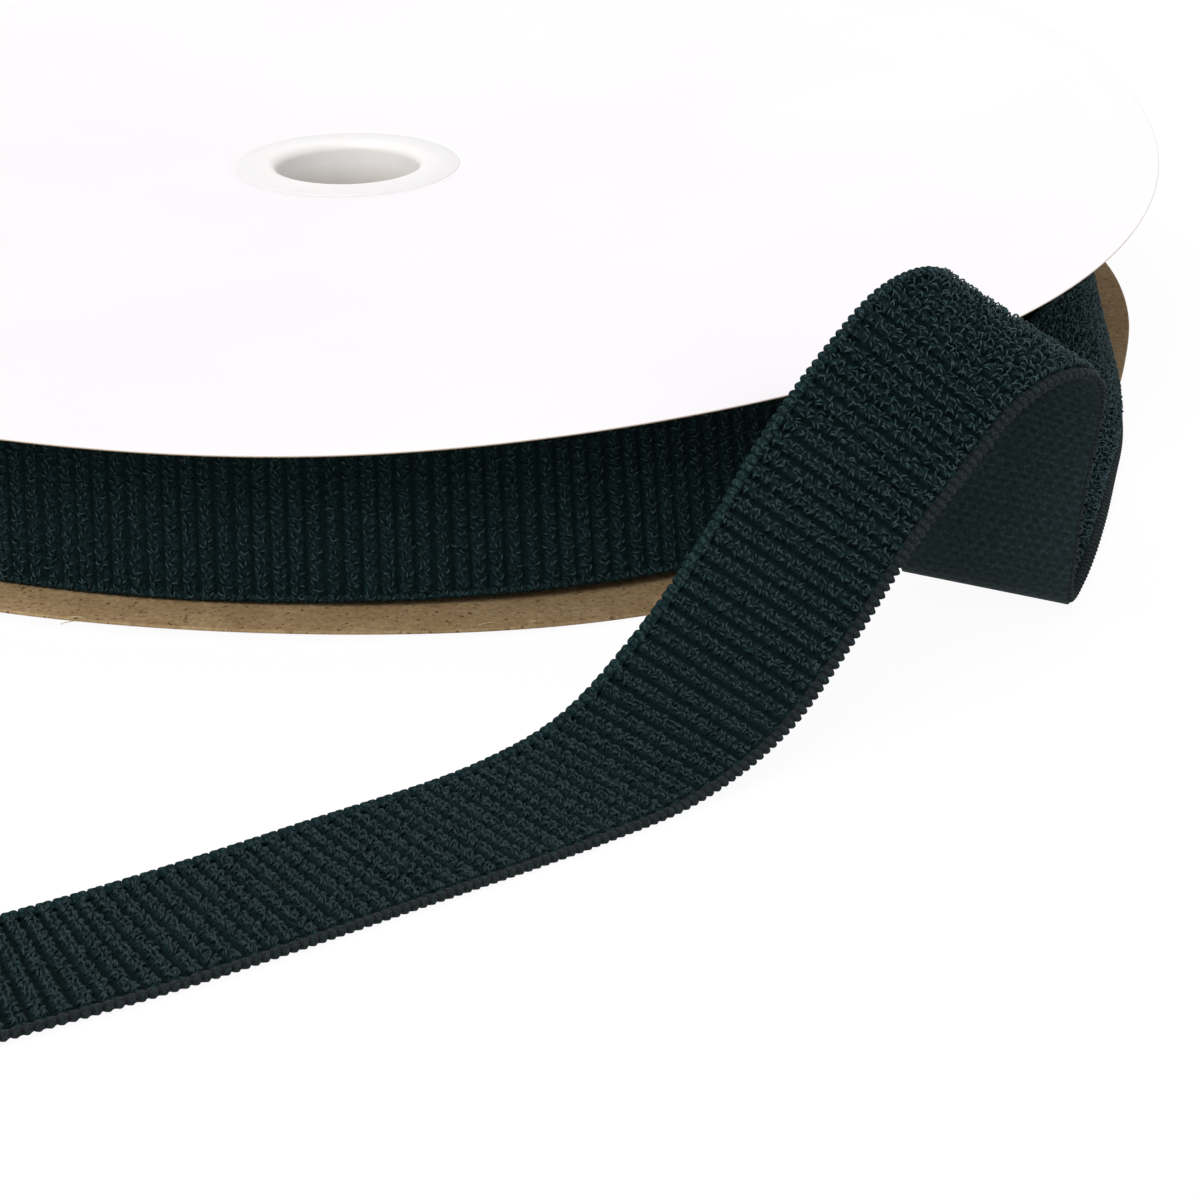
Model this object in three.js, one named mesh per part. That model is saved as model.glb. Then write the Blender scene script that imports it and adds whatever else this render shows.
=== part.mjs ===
import * as THREE from "three";

// A roll of hook tape on a reel of two paperboard flanges, with a length of tape paid out on the table.
// Millimetres, +Z up. The origin is on the reel's axis, on the surface that the reel lies on.

// Tape
const tapeWidth = 25;
const tapeThickness = 2;
const turnGap = 0.45;
const leavingAngle = 20;

// Flanges, and how far short of the upper one's rim the lower one and the wound pack stop
const topFlangeRadius = 140;
const bottomFlangeTrim = 2;
const packTrim = 14.5;
const boardThickness = 0.9;
const linerThickness = 0.15;
const sideClearance = 0.4;
const springLift = 11;
const springAngle = 36;
const springFall = 3.6;

// Hub and core tube
const boreRadius = 12.5;
const spigotWall = 1.5;
const spigotLength = 7;
const socketWall = 1.5;
const snapHeight = 0.5;
const snapLength = 1.6;
const hubLipWidth = 3.8;
const hubLipThickness = 1;
const coreWall = 3.9;

// Clearances
const seatGap = 0.3;
const glueLine = 0.1;

// Counts and shares
const rimSegments = 72;
const hubSegments = 48;
const springRings = 4;
const wrapSteps = 90;
const stepsPerStation = 3;
const snapPlaceShare = 0.5;
const jointPlaceShare = 0.5;

// Heights of the stack, from the table up
const bottomLinerZ = hubLipThickness + glueLine;
const bottomBoardZ = bottomLinerZ + linerThickness + glueLine;
const innerFloorZ = bottomBoardZ + boardThickness;
const innerCeilingZ = innerFloorZ + tapeWidth + 2 * sideClearance;
const topLinerZ = innerCeilingZ + boardThickness + glueLine;
const topLipZ = topLinerZ + linerThickness + glueLine;
const hubTopZ = topLipZ + hubLipThickness;
const tapeLowZ = innerFloorZ + sideClearance;
const tapeHighZ = tapeLowZ + tapeWidth;
const hubJointZ = hubTopZ * jointPlaceShare;

// Radii that follow their neighbours, from the bore outwards
const spigotRadius = boreRadius + spigotWall;
const socketRadius = spigotRadius + seatGap;
const barrelRadius = socketRadius + socketWall;
const hubLipRadius = barrelRadius + hubLipWidth;
const flangeHoleRadius = barrelRadius + seatGap;
const coreRadius = flangeHoleRadius + coreWall;
const packInnerRadius = coreRadius + seatGap;
const packRadius = topFlangeRadius - packTrim;
const bottomFlangeRadius = topFlangeRadius - bottomFlangeTrim;
const wrapStartRadius = packRadius + seatGap + tapeThickness / 2;
const wrapRise = tapeThickness + turnGap;

// Route of the paid-out tape, as pairs of points on its lower and its upper edge.
// It stands on edge beside the pack, lies down on the table, folds up and over, and runs out flat.
const routePoints = [
  [[130, 22, 2.7], [129.5, 22, 27.7]],
  [[133.5, 0, 2.8], [131.8, 0, 27.6]],
  [[132, -23, 3], [127.8, -22.5, 27.4]],
  [[128.5, -46, 3.3], [121.8, -45, 27]],
  [[123.5, -69, 3.6], [112.5, -67, 24.6]],
  [[117.5, -91, 3.4], [99.5, -87, 18]],
  [[110, -113, 2.5], [88, -105, 9.5]],
  [[104.5, -127, 1.4], [81.5, -118.5, 4.5]],
  [[101.5, -134.5, 1.6], [78.5, -126, 4.2]],
  [[99.5, -140.5, 4.5], [76.5, -132, 7]],
  [[99, -143, 10], [76, -134, 12.5]],
  [[99.5, -143, 18], [76.5, -134, 21]],
  [[100.5, -143.5, 26], [77.5, -134, 30]],
  [[100.8, -145.3, 33.5], [79.2, -134.4, 38.5]],
  [[100, -148.5, 38.5], [80.2, -135.3, 45.5]],
  [[97.5, -152.7, 41.8], [79.5, -137.6, 51.2]],
  [[92.3, -156.9, 42.8], [75.5, -141.8, 53.6]],
  [[86, -160.5, 40.6], [69.2, -147, 52.6]],
  [[80.5, -163, 34.8], [62.5, -151, 47.3]],
  [[71.5, -169.5, 25.8], [52.8, -156, 36.5]],
  [[62.5, -176, 15.5], [44.5, -160.5, 24]],
  [[53, -182.3, 6.2], [35.5, -166, 13]],
  [[41.5, -191, 1.7], [25, -172, 4.4]],
  [[28.5, -200, 1.2], [14, -179.5, 1.6]],
  [[4, -215, 1.2], [-9, -193.5, 1.2]],
  [[-20.5, -229.5, 1.2], [-32, -207, 1.2]],
  [[-44.5, -241, 1.2], [-51, -217, 1.2]],
];

const turn = 2 * Math.PI;
const radians = (degrees) => THREE.MathUtils.degToRad(degrees);

function finish(name, geometry, color, roughness) {
  geometry.computeVertexNormals();
  const material = new THREE.MeshStandardMaterial({ color, roughness, metalness: 0 });
  const mesh = new THREE.Mesh(geometry, material);
  mesh.name = name;
  return mesh;
}

// A ring turned about the reel's axis from a closed outline of [radius, height] points
function turned(name, outline, segments, color, roughness) {
  const points = [...outline, outline[0]].map(([r, z]) => new THREE.Vector2(r, z));
  const geometry = new THREE.LatheGeometry(points, segments);
  geometry.rotateX(Math.PI / 2);
  return finish(name, geometry, color, roughness);
}

// A flat ring between two radii and two heights
function ring(name, innerRadius, outerRadius, low, high, color, roughness) {
  const outline = [[innerRadius, low], [outerRadius, low], [outerRadius, high], [innerRadius, high]];
  return turned(name, outline, rimSegments, color, roughness);
}

// How far the top flange has sprung up at a point, flat under the hub's lip
function springHeight(r, angle) {
  const reach = Math.max(0, (r - hubLipRadius) / (topFlangeRadius - hubLipRadius));
  const facing = (1 + Math.cos(angle - radians(springAngle))) / 2;
  return springLift * reach ** 2 * facing ** springFall;
}

// A disc with a round hole that follows the sprung shape, low face and high face alike
function sprungDisc(name, low, high, color, roughness) {
  const radii = [flangeHoleRadius];
  for (let i = 0; i <= springRings; i += 1) {
    radii.push(THREE.MathUtils.lerp(hubLipRadius, topFlangeRadius, i / springRings));
  }
  const loop = [...radii.map((r) => [r, low]), ...radii.map((r) => [r, high]).reverse()];
  const position = [];
  const index = [];
  for (let k = 0; k < rimSegments; k += 1) {
    const angle = turn * k / rimSegments;
    for (const [r, z] of loop) {
      position.push(r * Math.cos(angle), r * Math.sin(angle), z + springHeight(r, angle));
    }
  }
  const count = loop.length;
  for (let k = 0; k < rimSegments; k += 1) {
    const here = k * count;
    const next = ((k + 1) % rimSegments) * count;
    for (let j = 0; j < count; j += 1) {
      const m = (j + 1) % count;
      index.push(here + j, next + j, next + m, here + j, next + m, here + m);
    }
  }
  const geometry = new THREE.BufferGeometry();
  geometry.setAttribute("position", new THREE.Float32BufferAttribute(position, 3));
  geometry.setIndex(index);
  return finish(name, geometry, color, roughness);
}

// A closed strip of tape through stations, each with its middle, the way across it and the way it runs
function tapeStrip(name, stations, color, roughness) {
  const position = [];
  const index = [];
  for (const { middle, across, along } of stations) {
    const side = across.clone().multiplyScalar(tapeWidth / 2);
    const face = across.clone().cross(along).normalize().multiplyScalar(tapeThickness / 2);
    const corners = [
      middle.clone().sub(side).sub(face),
      middle.clone().add(side).sub(face),
      middle.clone().add(side).add(face),
      middle.clone().sub(side).add(face),
    ];
    corners.forEach((corner) => position.push(corner.x, corner.y, corner.z));
  }
  const last = 4 * (stations.length - 1);
  for (let here = 0; here < last; here += 4) {
    for (let j = 0; j < 4; j += 1) {
      const m = (j + 1) % 4;
      index.push(here + j, here + 4 + m, here + m, here + j, here + 4 + j, here + 4 + m);
    }
  }
  index.push(0, 1, 2, 0, 2, 3);
  index.push(last, last + 2, last + 1, last, last + 3, last + 2);
  const geometry = new THREE.BufferGeometry();
  geometry.setAttribute("position", new THREE.Float32BufferAttribute(position, 3));
  geometry.setIndex(index);
  return finish(name, geometry, color, roughness);
}

// A place on the outer turn, share 0 at its inner end and share 1 where the tape leaves the roll.
// It climbs by one thickness as it goes round, so that it ends on top of its own start.
function wrapStation(share) {
  const angle = radians(leavingAngle) - turn * share;
  const radius = wrapStartRadius + wrapRise * share;
  const slope = wrapRise / turn;
  const outward = new THREE.Vector3(Math.cos(angle), Math.sin(angle), 0);
  const sideways = new THREE.Vector3(Math.sin(angle), -Math.cos(angle), 0);
  const middle = outward.clone().multiplyScalar(radius).setZ((tapeLowZ + tapeHighZ) / 2);
  const along = sideways.multiplyScalar(radius).addScaledVector(outward, slope).normalize();
  return { middle, across: new THREE.Vector3(0, 0, 1), along };
}

function wrapStations() {
  const stations = [];
  for (let i = 0; i <= wrapSteps; i += 1) {
    stations.push(wrapStation(i / wrapSteps));
  }
  return stations;
}

// The paid-out length begins a seat gap past the end of the outer turn
function routeStations() {
  const start = wrapStation(1);
  const corner = start.middle.clone().addScaledVector(start.along, seatGap);
  const lower = [corner.clone().setZ(tapeLowZ)];
  const upper = [corner.clone().setZ(tapeHighZ)];
  for (const [low, high] of routePoints) {
    lower.push(new THREE.Vector3(...low));
    upper.push(new THREE.Vector3(...high));
  }
  const lowerEdge = new THREE.CatmullRomCurve3(lower);
  const upperEdge = new THREE.CatmullRomCurve3(upper);
  const steps = stepsPerStation * (lower.length - 1);
  const middles = [];
  const acrosses = [];
  for (let i = 0; i <= steps; i += 1) {
    const low = lowerEdge.getPoint(i / steps);
    const high = upperEdge.getPoint(i / steps);
    middles.push(low.clone().add(high).multiplyScalar(1 / 2));
    acrosses.push(high.sub(low).normalize());
  }
  return middles.map((middle, i) => {
    const before = middles[Math.max(0, i - 1)];
    const after = middles[Math.min(steps, i + 1)];
    return { middle, across: acrosses[i], along: after.clone().sub(before).normalize() };
  });
}

// The least gap between parts of the outer turn that lie more than half a turn apart
function leastTurnGap(stations) {
  let least = Infinity;
  for (let i = 0; i < stations.length; i += 1) {
    for (let j = i + wrapSteps / 2; j < stations.length; j += 1) {
      least = Math.min(least, stations[i].middle.distanceTo(stations[j].middle) - tapeThickness);
    }
  }
  return least;
}

function runLength(stations) {
  let length = 0;
  for (let i = 1; i < stations.length; i += 1) {
    length += stations[i].middle.distanceTo(stations[i - 1].middle);
  }
  return length;
}

// The upper half of the hub: a lip, a barrel, and a spigot with a snap bead
function upperHub() {
  const spigotEnd = hubJointZ - spigotLength;
  const beadMiddle = hubJointZ - spigotLength * snapPlaceShare;
  const outline = [
    [boreRadius, spigotEnd],
    [spigotRadius, spigotEnd],
    [spigotRadius, beadMiddle - snapLength / 2],
    [spigotRadius + snapHeight, beadMiddle],
    [spigotRadius, beadMiddle + snapLength / 2],
    [spigotRadius, hubJointZ],
    [barrelRadius, hubJointZ],
    [barrelRadius, topLipZ],
    [hubLipRadius, topLipZ],
    [hubLipRadius, hubTopZ],
    [boreRadius, hubTopZ],
  ];
  return turned("upper_hub", outline, hubSegments, 0xe4e4df, 0.4);
}

// The lower half: a lip, a barrel, and a socket with the groove that the bead snaps into
function lowerHub() {
  const spigotEnd = hubJointZ - spigotLength;
  const beadMiddle = hubJointZ - spigotLength * snapPlaceShare;
  const barrelEnd = hubJointZ - seatGap;
  const outline = [
    [boreRadius, 0],
    [hubLipRadius, 0],
    [hubLipRadius, hubLipThickness],
    [barrelRadius, hubLipThickness],
    [barrelRadius, barrelEnd],
    [socketRadius, barrelEnd],
    [socketRadius, beadMiddle + snapLength / 2],
    [socketRadius + snapHeight, beadMiddle],
    [socketRadius, beadMiddle - snapLength / 2],
    [socketRadius, spigotEnd - seatGap],
    [boreRadius, spigotEnd - seatGap],
  ];
  return turned("lower_hub", outline, hubSegments, 0xe4e4df, 0.4);
}

function coreTube() {
  const low = innerFloorZ + seatGap;
  const high = innerCeilingZ - seatGap;
  return ring("core_tube", flangeHoleRadius, coreRadius, low, high, 0x9c8767, 0.9);
}

function bottomFlange() {
  const boardTop = bottomBoardZ + boardThickness;
  const linerTop = bottomLinerZ + linerThickness;
  return [
    ring("bottom_flange_board", flangeHoleRadius, bottomFlangeRadius, bottomBoardZ, boardTop, 0x8d7859, 0.9),
    ring("bottom_flange_liner", flangeHoleRadius, bottomFlangeRadius, bottomLinerZ, linerTop, 0xf6f2f5, 0.6),
  ];
}

function topFlange() {
  const boardTop = innerCeilingZ + boardThickness;
  const linerTop = topLinerZ + linerThickness;
  return [
    sprungDisc("top_flange_board", innerCeilingZ, boardTop, 0x8d7859, 0.9),
    sprungDisc("top_flange_liner", topLinerZ, linerTop, 0xf6f2f5, 0.6),
  ];
}

function tapePack() {
  return ring("tape_pack", packInnerRadius, packRadius, tapeLowZ, tapeHighZ, 0x12191b, 0.7);
}

const turnStations = wrapStations();
const paidOutStations = routeStations();
console.log("least gap of the outer turn to itself, mm:", leastTurnGap(turnStations).toFixed(2));
console.log("length of the paid-out tape, mm:", runLength(paidOutStations).toFixed(1));

const roll = new THREE.Group();
roll.add(upperHub(), lowerHub(), coreTube());
roll.add(...topFlange(), ...bottomFlange());
roll.add(tapePack());
roll.add(tapeStrip("outer_wrap", turnStations, 0x161e20, 0.7));
roll.add(tapeStrip("free_tape", paidOutStations, 0x1a2224, 0.7));

export default roll;
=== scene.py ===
"""Looks for the roll of hook tape: woven hook tape on a paper reel, with a length paid out on the table.

Lengths are in millimetres, angles in degrees and colours in sRGB hex, unless a name or a comment says otherwise.
"""

import math

import bpy
import numpy as np
from mathutils import Matrix, Vector


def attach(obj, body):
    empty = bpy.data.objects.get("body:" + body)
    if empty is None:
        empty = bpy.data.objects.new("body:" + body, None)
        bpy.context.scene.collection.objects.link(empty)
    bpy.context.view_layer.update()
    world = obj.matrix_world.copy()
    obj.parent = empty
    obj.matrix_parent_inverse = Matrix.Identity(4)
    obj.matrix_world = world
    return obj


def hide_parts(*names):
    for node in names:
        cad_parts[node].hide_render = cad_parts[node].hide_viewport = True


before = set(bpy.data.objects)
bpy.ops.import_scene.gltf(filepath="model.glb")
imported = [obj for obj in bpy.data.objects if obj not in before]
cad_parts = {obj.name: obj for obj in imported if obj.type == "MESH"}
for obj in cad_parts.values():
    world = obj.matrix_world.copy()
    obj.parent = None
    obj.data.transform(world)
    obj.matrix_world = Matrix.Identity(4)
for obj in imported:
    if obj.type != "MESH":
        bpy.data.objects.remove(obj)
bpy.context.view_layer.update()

MM = 0.001
SEED = 41
chance = np.random.default_rng(SEED)


# ---- Sizes ----

# Camera, fitted to the photograph
CAMERA_PLACE = (0.0, -544.9, 187.1)
CAMERA_TURN = -4.61
CAMERA_DIP = 23.99
CAMERA_ROLL = -0.29
CAMERA_LENS = 96.0
CAMERA_SENSOR = 36.0
CAMERA_CLIP_M = (0.01, 20)

# The tape's lie
TAPE_WIDTH = 25.0
TAPE_LOW_Z = 2.65
LEAVING_ANGLE = 20.0
LEAVING_GAP = 0.3
WRAP_START_RADIUS = 126.8
WRAP_RISE = 2.45
WRAP_STATIONS = 2401
PAID_OUT_LENGTH = 412.5
PAID_OUT_STATIONS = 1651

# How far each edge of the outer turn stands out from the roll: by so much all round, and more or less in humps of
# (how far, direction round the reel, width in degrees)
HIGH_EDGE_OUT, HIGH_EDGE_HUMPS = -0.8, [(0.2, -90, 38), (-1.7, 10, 40)]
LOW_EDGE_OUT, LOW_EDGE_HUMPS = 0.5, [(3.4, -66, 32), (-0.4, 10, 40)]

# The paid-out tape follows that lean less and less over its first stretch
LEAN_FADES_OVER, LEAN_FADE_POWER = 110.0, 1.5
# It is also moved in towards the reel's axis: near its start by so much, rising to the first place along it and
# fading after the second, and further on in humps of (how far, place along it, width)
START_IN, START_IN_RISE, START_IN_END, START_IN_FADE = 2.9, 40.0, 42.0, 30.0
LATER_IN_HUMPS = [(0.85, 95, 11), (0.65, 145, 22)]
# From this place on it comes to lie flat, and its stitched edges change over the next stretch
FLAT_FROM, FLAT_BLEND = 240.0, 60.0

# The tape's weave: heights are above its middle, on the hook side
HOOK_ROW_PITCH = 2.45
WRAP_ROW_PITCH = 2.55
HOOKS_PER_ROW = 14
HOOK_SPACING = 1.75
HOOK_TOP = 0.98
HOOK_SIDES = 3
GROUND_TOP = -0.42
GROUND_LOW = -0.7
GROUND_HALF_WIDTH = 11.95
GROUND_COLUMNS = 64
GROUND_COLUMNS_BELOW = 7  # one in so many columns goes on along the hidden underside
# How far up the ground's yarns come: a level, less a swing over each row of hooks and one over each pick, and the
# share of it that stands only at their knots
PICK_LEVEL, ROW_SWING, PICK_SWING, KNOT_SHARE = 0.55, 0.45, 0.25, 0.45
KNOT_DRIFT = 3.0
PAID_OUT_GROUND = {"step": 0.35, "ridge": 0.9, "taper": (1.3, 0.4)}
WRAP_GROUND = {"step": 0.61, "ridge": 0.75, "taper": (0.6, 0.6)}
BACKING_FACE = -0.72
BACKING_INNER = GROUND_LOW + 0.04
BACKING_RIB = 1.225
BACKING_DASH = 1.75
BACKING_DEPTH = 0.36
BACKING_COLUMNS = 84
BACKING_ROWS_PER_RIB = 3
BACKING_GAP_SHARE = 0.3  # how deep the gap between two rows is where it is shallowest

# Hooks: an outline of (share of the reach, share of the height) from root to tip, and where each filament of a hook's
# place stands, as (ahead, aside, heading)
HOOK_OUTLINE = [(0.06, -0.1), (0.0, 0.42), (0.12, 0.8), (0.42, 1.0), (0.78, 0.93), (1.0, 0.66), (0.96, 0.36)]
WRAP_HOOK_OUTLINE = [(0.06, -0.1), (0.0, 0.5), (0.2, 0.9), (0.62, 1.0), (0.95, 0.76), (0.98, 0.4)]
PAID_OUT_STANDS = {
    "rearward": [(-0.42, -0.44, 180), (-0.3, 0.42, 115)],
    "forward": [(0.42, 0.44, 0), (0.3, -0.42, -70)],
    "crosswise": [(-0.4, -0.8, 80), (0.45, 0.05, -100)],
}
WRAP_STANDS = {
    "rearward": [(-0.5, -0.35, 135)],
    "forward": [(0.5, 0.35, -140)],
    "middle": [(0.05, -0.75, 60)],
}
# The hooks' height and spread over their row (shares), reach and radius, and the painted light on their crowns (a
# share), at places along the tape
PAID_OUT_GROWTH = {
    "places": [0, 120, 245, 300],
    "tall": [0.8, 0.98, 0.98, 0.62],
    "reach": [0.8, 0.95, 0.92, 0.68],
    "radius": [0.14, 0.135, 0.135, 0.24],
    "spread": [1.0, 1.5, 1.5, 0.95],
    "light": [0.9, 1.0, 0.95, 0.45],
}
WRAP_GROWTH = {
    "places": [0, 1],
    "tall": [0.78, 0.78],
    "reach": [0.85, 0.85],
    "radius": [0.15, 0.15],
    "spread": [1.0, 1.0],
    "light": [0.85, 0.85],
}
PAID_OUT_FIELD, WRAP_FIELD = (-10.9, 12.0), (-11.9, 11.9)
# How much one hook differs from the next
ALONG_JITTER, ASIDE_JITTER, HEADING_JITTER_RAD, LEAN_JITTER = 0.12, 0.18, 0.45, 0.16
REACH_RANGE, HEIGHT_RANGE = (0.8, 1.15), (0.85, 1.1)

# Stitched edges: a wide oversewn band on the low edge, round loops where the rows of hooks end on the high edge, and
# flat edges on the roll, darkened by painted shade
OVERSEWN = {
    "side": -1, "place": 11.75, "half_width": 0.9, "height": -0.25, "half_height": 0.62,
    "bead": 1.225, "notch": 0.8, "roundness": 0.85, "paired": 0.0, "spread": 0.35,
}
ROW_ENDS = {
    "side": 1, "place": 11.9, "half_width": 0.9, "height": 0.05, "half_height": 0.66,
    "bead": 1.225, "notch": 0.8, "roundness": 0.6, "paired": 0.7, "spread": 0.15,
}
ROLLED_LOW = {
    "side": -1, "place": 11.9, "half_width": 0.62, "height": -0.4, "half_height": 0.5,
    "bead": 1.275, "notch": 0.5, "roundness": 0.5, "paired": 0.0, "spread": 0.0,
}
ROLLED_HIGH = ROLLED_LOW | {"side": 1}
SECTIONS_PER_BEAD = 8
SELVEDGE_SIDES = 10
STITCH_SKEW = 0.1
NOTCH_HEIGHT_SHARE = 0.7
# Painted shade: a bead's colour is darkest in the notches between beads
BEAD_DARK, BEAD_LIT = 0.2, 0.8  # between these shares of its height, a bead's colour lightens

# Inner turns of the tape
PACK_INNER_RADIUS = 20.3
PACK_RADIUS = 125.5
PACK_CONE = 2.3
PACK_SEGMENTS = 180
TURN_PITCH = 2.45
RINGS_PER_TURN = 5
TURN_EDGE_SHARE = 0.35
TURN_GROOVE = 0.9

# Flanges
TOP_FLANGE_RADIUS = 140.0
TOP_BOARD_INSET = 0.2
TOP_PAPER_INSET = 0.1
BOTTOM_FLANGE_RADIUS = 138.0
BOTTOM_BOARD_INSET = 0.7
BOTTOM_PAPER_INSET = 1.0
FLANGE_HOLE_RADIUS = 16.1
BOTTOM_LINER_Z = 1.1
BOTTOM_BOARD_Z = 1.35
INNER_FLOOR_Z = 2.25
INNER_CEILING_Z = 28.05
TOP_BOARD_Z = 28.95
TOP_LINER_Z = 29.2
GLUE_GAP = 0.02
DISC_RINGS = 24
DISC_SEGMENTS = 288
PRESSED_BAND = 9.0
RIM_EDGE = 0.25
RIM_ROUNDING = 0.06
RIM_ROUNDING_SHARE = 0.1
TOP_RIM_PRESS = 0.1
BOTTOM_RIM_PRESS = 0.1
# Heights over the lower board's underside, at its rim: of the board's own underside, and of its paper's two sides
BOTTOM_BOARD_RIM_LIFT = 0.3
BOTTOM_PAPER_RIM_LIFTS = (0.15, 0.28)
# Between these insets from the flange's radius, the top paper's colour turns to its cut edge's
CUT_EDGE_INSETS = (0.2, 0.12)

# The top flange springs up on one side, and bows up at both sides of its front
SPRING_LIFT = 11.0
SPRING_ANGLE = 36.0
SPRING_FALL = 3.6
BOW_LIFT, BOW_MIDDLE, BOW_GAP, BOW_WIDTH = 1.1, 267, 17, 75

# The lower flange's rim sags to the table at the front right, curls up at the left and stands out at the right: each
# is (how far, direction round the reel, width in degrees)
RIM_SAG = (0.98, 288, 19)
RIM_CURL = (0.65, 243, 30)
RIM_SWELL = (3.0, 10, 14)
RIM_DENT = (0.9, -16, 8)
SWELL_LIFT = 0.8
SPREAD_PER_SAG = 2.3

# Paper fibres hang from the lower board's rim here: direction round the reel, and how big they are
FRAYED_PLACES = [(253.4, 1.7), (270.0, 1.0), (277.5, 1.1), (280.3, 1.0)]
FIBRES_PER_PLACE = 3
FIBRE_RADIUS = 0.075
FIBRE_SIDES = 3
FIBRE_POINTS = 7
FIBRE_ROOT_INSET = 0.8
FIBRE_ROOT_DROP = 0.35
FIBRE_SAG_RADIUS = 137.0
FIBRE_DIRECTION_JITTER, FIBRE_ROOT_JITTER = 0.5, 0.2
FIBRE_OUT_RANGE, FIBRE_ASIDE_JITTER, FIBRE_UP_RANGE = (0.2, 0.7), 1.3, (-0.3, 0.5)
FIBRE_BOW_JITTER, FIBRE_BOW_UP_RANGE = 0.3, (0, 0.4)

# Hub
BORE_RADIUS = 12.5
HUB_BARREL_RADIUS = 15.8
HUB_LIP_RADIUS = 19.6
HUB_JOINT_Z = 15.15
HUB_JOINT_GAP = 0.3
SPIGOT_RADIUS = 14.0
SPIGOT_LENGTH = 7.0
LOWER_LIP_Z = 1.0
LOWER_LIP_ROUNDING = 0.45
LOWER_LIP_CORNER = (0.15, 0.1)  # cut off its inner corner, across and down
LOWER_BORE_ROUNDING = 1.0
UPPER_LIP = 0.5
UPPER_LIP_RIM = 0.16
UPPER_LIP_ROUNDING = 0.15
UPPER_LIP_UNDERCUT = 0.05
UPPER_BORE_ROUNDING = 1.7
# Two points on the upper lip's slope: a radius and a height over its rim, and a radius and a depth below its top
SLOPE_FOOT, SLOPE_HEAD = (18.0, 0.12), (16.4, 0.06)
LIP_ARC_POINTS, UPPER_BORE_ARC_POINTS, LOWER_BORE_ARC_POINTS = 5, 12, 8
HUB_SEGMENTS = 144
HUB_SHARP_ANGLE = 40

# Table and light
TABLE_HALF_M = 3.0
TABLE_DROP_M = 0.00005
TABLE_GLOW_SHARE = 0.93
TABLE_GLOW = 1.02
SKY_STRENGTH = 0.66
SUN_ENERGY = 1.45
SUN_WIDTH = 35
SUN_TURN = (32, -24, 0)

# Route of the paid-out tape, in metres: pairs of points on its lower and its upper edge
ROUTE = [
    [(0.130, 0.022, 0.0027), (0.1295, 0.022, 0.0277)],
    [(0.1335, 0.0, 0.0028), (0.1318, 0.0, 0.0276)],
    [(0.132, -0.023, 0.003), (0.1278, -0.0225, 0.0274)],
    [(0.1285, -0.046, 0.0033), (0.1218, -0.045, 0.027)],
    [(0.1235, -0.069, 0.0036), (0.1125, -0.067, 0.0246)],
    [(0.1175, -0.091, 0.0034), (0.0995, -0.087, 0.018)],
    [(0.110, -0.113, 0.0025), (0.088, -0.105, 0.0095)],
    [(0.1045, -0.127, 0.0014), (0.0815, -0.1185, 0.0045)],
    [(0.1015, -0.1345, 0.0016), (0.0785, -0.126, 0.0042)],
    [(0.0995, -0.1405, 0.0045), (0.0765, -0.132, 0.007)],
    [(0.099, -0.143, 0.010), (0.076, -0.134, 0.0125)],
    [(0.0995, -0.143, 0.018), (0.0765, -0.134, 0.021)],
    [(0.1005, -0.1435, 0.026), (0.0775, -0.134, 0.030)],
    [(0.1008, -0.1453, 0.0335), (0.0792, -0.1344, 0.0385)],
    [(0.100, -0.1485, 0.0385), (0.0802, -0.1353, 0.0455)],
    [(0.0975, -0.1527, 0.0418), (0.0795, -0.1376, 0.0512)],
    [(0.0923, -0.1569, 0.0428), (0.0755, -0.1418, 0.0536)],
    [(0.086, -0.1605, 0.0406), (0.0692, -0.147, 0.0526)],
    [(0.0805, -0.163, 0.0348), (0.0625, -0.151, 0.0473)],
    [(0.0715, -0.1695, 0.0258), (0.0528, -0.156, 0.0365)],
    [(0.0625, -0.176, 0.0155), (0.0445, -0.1605, 0.024)],
    [(0.053, -0.1823, 0.0062), (0.0355, -0.166, 0.013)],
    [(0.0415, -0.191, 0.0017), (0.025, -0.172, 0.0044)],
    [(0.0285, -0.200, 0.0012), (0.014, -0.1795, 0.0016)],
    [(0.004, -0.215, 0.0012), (-0.009, -0.1935, 0.0012)],
    [(-0.0205, -0.2295, 0.0012), (-0.032, -0.207, 0.0012)],
    [(-0.0445, -0.241, 0.0012), (-0.051, -0.217, 0.0012)],
]


def put_in_scene(thing):
    bpy.context.scene.collection.objects.link(thing)


# ---- Camera ----


def make_camera():
    data = bpy.data.cameras.new("camera")
    data.lens = CAMERA_LENS
    data.sensor_width = CAMERA_SENSOR
    data.clip_start, data.clip_end = CAMERA_CLIP_M
    camera = bpy.data.objects.new("camera", data)
    turn = Matrix.Rotation(math.radians(CAMERA_TURN), 4, "Z")
    dip = Matrix.Rotation(math.radians(90 - CAMERA_DIP), 4, "X")
    roll = Matrix.Rotation(math.radians(CAMERA_ROLL), 4, "Z")
    camera.matrix_world = Matrix.Translation(Vector(CAMERA_PLACE) * MM) @ turn @ dip @ roll
    put_in_scene(camera)
    bpy.context.scene.camera = camera


make_camera()


# ---- Materials ----

# The colour sockets of a Mix node
MIX_A, MIX_B, MIX_RESULT = 6, 7, 2
# Where painted shade makes the chipboard greyer to the right, and where the painted shade down the bore thins out
PAINTED_SHADE_ACROSS_M = (-0.05, 0.035)
BORE_SHADE_HEIGHTS_M = (0.0165, 0.0275)


def linear(hex_colour):
    """An sRGB hex colour as linear red, green, blue and alpha."""
    parts = [int(hex_colour[i : i + 2], 16) / 255 for i in (1, 3, 5)]
    return [c / 12.92 if c <= 0.04045 else ((c + 0.055) / 1.055) ** 2.4 for c in parts] + [1.0]


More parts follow.
